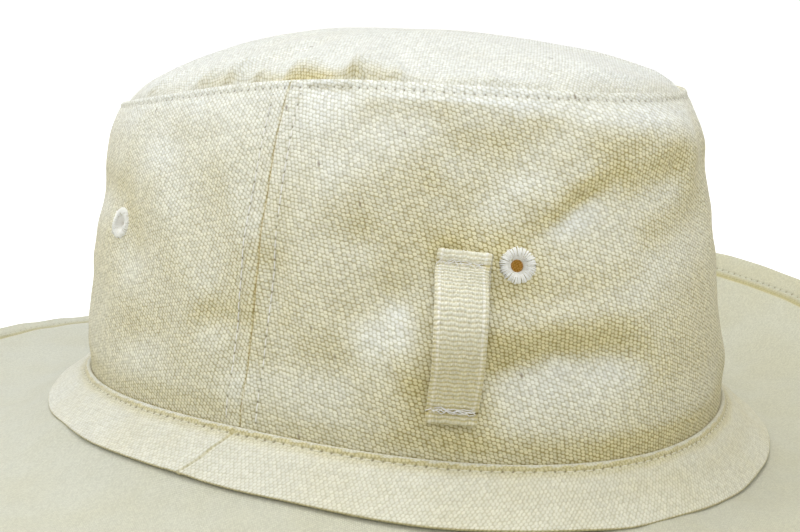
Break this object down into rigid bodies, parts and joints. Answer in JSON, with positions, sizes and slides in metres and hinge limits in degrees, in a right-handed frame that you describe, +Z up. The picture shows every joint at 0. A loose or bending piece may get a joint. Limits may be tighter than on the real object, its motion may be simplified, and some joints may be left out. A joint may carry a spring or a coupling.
{
  "type": "cricket hat",
  "caption": "Soft natural canvas sun hat with a wide floppy brim, a tall domed crown, side seams, embroidered air holes and a webbing loop, resting crown up on its brim.",
  "frame": {"origin": "on the surface that the brim rests on, under the middle of the hat", "axes": "+Z up through the crown, -Y towards the hat's front, -X towards the wearer's right"},
  "size_m": [0.3313, 0.3584, 0.1266],
  "materials": {
    "crown_canvas": "coarse plain-weave natural canvas with small dark seed flecks, matte",
    "brim_canvas": "finer and smoother natural cotton cloth, matte",
    "webbing": "flat cotton tape with cross ribs, soft satin",
    "thread": "white polyester thread, soft satin"
  },
  "bodies": {
    "root": {"crown_tip": "crown_canvas", "crown_side_front": "crown_canvas", "crown_side_back": "crown_canvas", "brim_inner_ring": "crown_canvas", "brim_outer": "brim_canvas", "webbing_loop": "webbing", "eyelet_right_front": "thread", "eyelet_right_back": "thread", "eyelet_left_front": "thread", "eyelet_left_back": "thread"}
  },
  "joints": []
}
